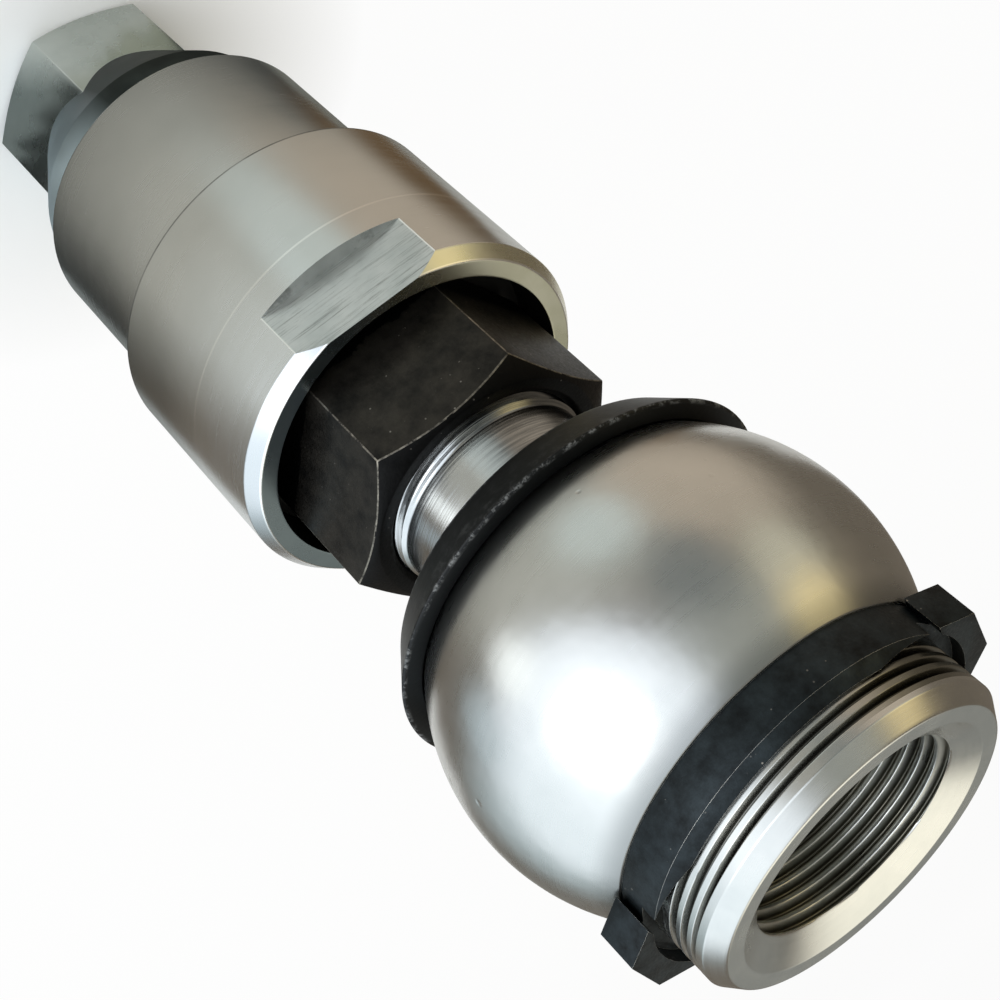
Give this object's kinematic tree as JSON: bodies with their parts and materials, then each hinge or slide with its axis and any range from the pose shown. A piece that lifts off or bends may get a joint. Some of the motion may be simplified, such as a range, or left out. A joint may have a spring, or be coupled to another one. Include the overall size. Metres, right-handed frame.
{
  "type": "ball joint",
  "caption": "Swivelling ball joint: round steel housing with a threaded neck and lugged ring nut, on a ball stud screwed into a stepped sleeve with a lock nut.",
  "frame": {"origin": "centre of the plug's end face, which the part stands on, under the middle of the bounding box", "axes": "+Z along the stud from the hexagon plug to the ball; the sleeve's wrench flats face -Y and +Y"},
  "size_m": [0.09, 0.09, 0.2674],
  "materials": {
    "turned_steel": "fine turned, satin",
    "polished_steel": "polished, slightly dinged",
    "zinc_plate": "bright zinc plate",
    "black_oxide": "black oxide, worn at the edges",
    "rubber": "satin",
    "bronze": "turned",
    "spring_steel": "plain"
  },
  "bodies": {
    "sleeve": {"ball_stud": "turned_steel", "lock_nut": "black_oxide", "sleeve_body": "turned_steel", "hex_plug": "zinc_plate"},
    "seal": {"dust_seal": "rubber"},
    "cups": {"front_bearing_cup": "bronze", "rear_bearing_cup": "bronze"},
    "housing": {"ball_housing": "polished_steel", "retaining_ring": "turned_steel", "ring_nut": "black_oxide", "preload_spring": "spring_steel"}
  },
  "joints": [
    {"name": "seal_turn", "type": "hinge", "parent": "sleeve", "child": "seal", "pos_m": [0, 0, 0.219], "axis": [0, 0, 1], "continuous": true},
    {"name": "lean", "type": "hinge", "parent": "seal", "child": "cups", "pos_m": [0, 0, 0.219], "axis": [0.829, -0.5592, 0], "range_deg": [-16.9, 13.1]},
    {"name": "housing_turn", "type": "hinge", "parent": "cups", "child": "housing", "pos_m": [0, 0, 0.219], "axis": [-0.0185, -0.0275, 0.9995], "continuous": true}
  ]
}
